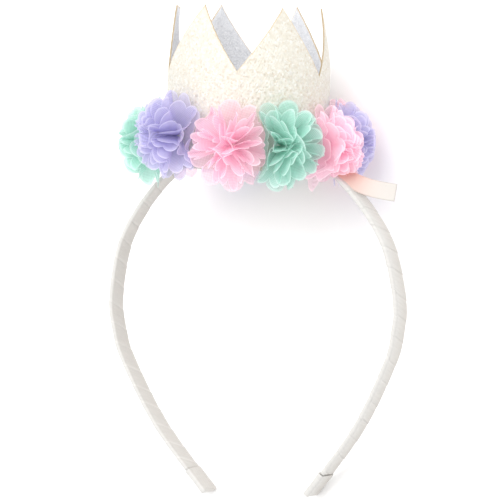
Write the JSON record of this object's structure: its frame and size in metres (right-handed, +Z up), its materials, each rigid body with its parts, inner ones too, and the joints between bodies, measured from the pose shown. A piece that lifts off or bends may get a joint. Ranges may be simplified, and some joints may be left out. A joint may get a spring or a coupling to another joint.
{
  "type": "mini crown headband",
  "caption": "Ribbon-wrapped hair band with a small pointed glitter crown on top, ringed by gathered chiffon flowers, with a plain satin label",
  "frame": {"origin": "On the table under the middle of the bounding box, with the headband lying on its back", "axes": "+X across the head, +Y from the tips of the band towards the crown's points, +Z up off the table, out of the front of the crown"},
  "size_m": [0.1302, 0.193, 0.0901],
  "materials": {
    "satin_ribbon": "ivory white satin ribbon wound round the band",
    "glitter_felt": "ivory chunky glitter outside, silvery lining side inside, golden cut edge",
    "base_felt": "plain ivory felt",
    "label_satin": "bare white woven satin",
    "chiffon_pink": "sheer pink chiffon",
    "chiffon_mint": "sheer mint chiffon",
    "chiffon_lilac": "sheer lilac chiffon"
  },
  "bodies": {
    "root": {"headband": "satin_ribbon", "ribbon_end_left": "satin_ribbon", "ribbon_end_right": "satin_ribbon", "crown": "glitter_felt", "felt_base": "base_felt", "label": "label_satin", "flower_01_pink": "chiffon_pink", "flower_02_mint": "chiffon_mint", "flower_03_pink": "chiffon_pink", "flower_04_lilac": "chiffon_lilac", "flower_05_pink": "chiffon_pink", "flower_06_mint": "chiffon_mint", "flower_07_lilac": "chiffon_lilac", "flower_08_pink": "chiffon_pink", "flower_09_mint": "chiffon_mint", "flower_10_lilac": "chiffon_lilac"}
  },
  "joints": []
}
